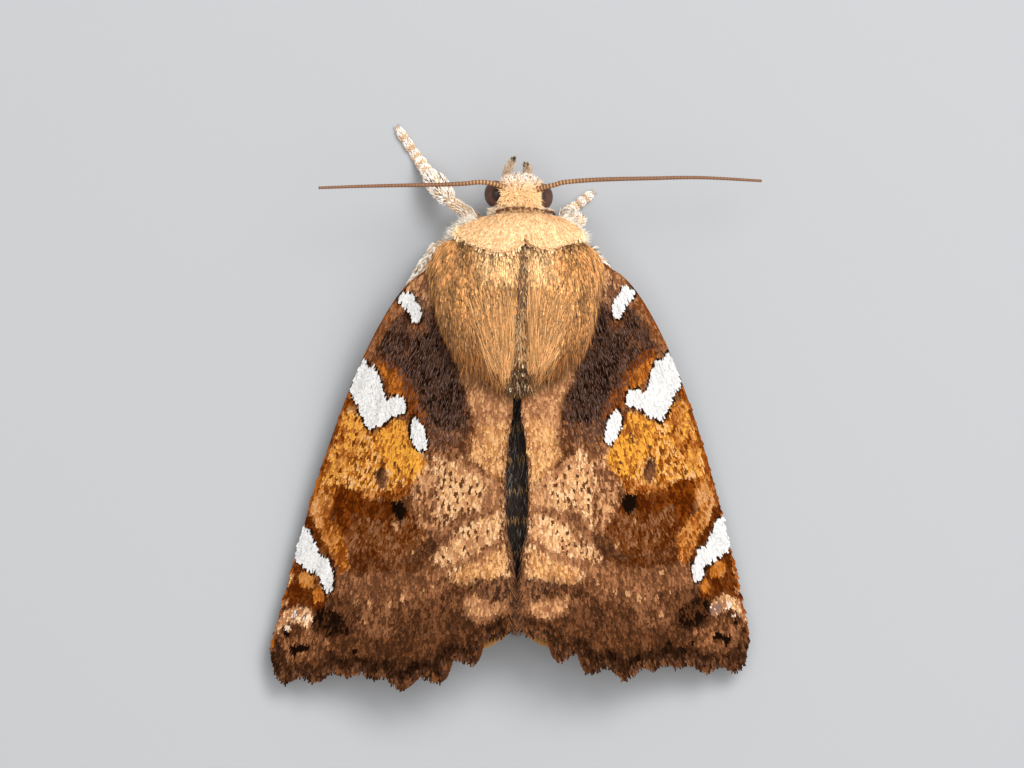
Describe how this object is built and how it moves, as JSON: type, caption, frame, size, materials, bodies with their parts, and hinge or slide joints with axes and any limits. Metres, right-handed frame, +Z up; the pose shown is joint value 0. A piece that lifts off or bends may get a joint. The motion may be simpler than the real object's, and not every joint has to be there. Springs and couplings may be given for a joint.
{
  "type": "resting noctuid moth",
  "caption": "Resting owlet moth with roofed, scalloped forewings, a furred thorax with collar and tegulae, spread antennae and six legs on the floor.",
  "frame": {"origin": "on the floor under the centre of the moth's bounding box", "axes": "+Z up; the head faces -Y; the moth's left side is towards +X"},
  "size_m": [0.0182, 0.0208, 0.0054],
  "materials": {
    "body_fur": "golden brown hair-like scales",
    "pale_fur": "pale buff hair-like scales",
    "dark_fur": "blackish grey hair-like scales",
    "eye": "glossy brown-black facets",
    "forewing": "matt flat scales in brown, ochre, black and white",
    "hindwing": "matt flat scales, grey-brown with an ochre fringe",
    "antenna": "matt brown rings",
    "leg": "speckled white and brown scales"
  },
  "bodies": {
    "root": {"abdomen": "dark_fur", "anal_tuft": "dark_fur", "antenna_l": "antenna", "antenna_r": "antenna", "collar_l": "pale_fur", "collar_r": "pale_fur", "eye_l": "eye", "eye_r": "eye", "femur_fore_l": "leg", "femur_fore_r": "leg", "femur_hind_l": "leg", "femur_hind_r": "leg", "femur_mid_l": "leg", "femur_mid_r": "leg", "forewing_l": "forewing", "forewing_r": "forewing", "head": "pale_fur", "hindwing_l": "hindwing", "hindwing_r": "hindwing", "palp_l": "pale_fur", "palp_r": "pale_fur", "scutellar_tuft": "dark_fur", "tarsus_fore_l": "leg", "tarsus_fore_r": "leg", "tarsus_hind_l": "leg", "tarsus_hind_r": "leg", "tarsus_mid_l": "leg", "tarsus_mid_r": "leg", "tegula_l": "body_fur", "tegula_r": "body_fur", "thorax": "body_fur", "tibia_fore_l": "leg", "tibia_fore_r": "leg", "tibia_hind_l": "leg", "tibia_hind_r": "leg", "tibia_mid_l": "leg", "tibia_mid_r": "leg"}
  },
  "joints": []
}
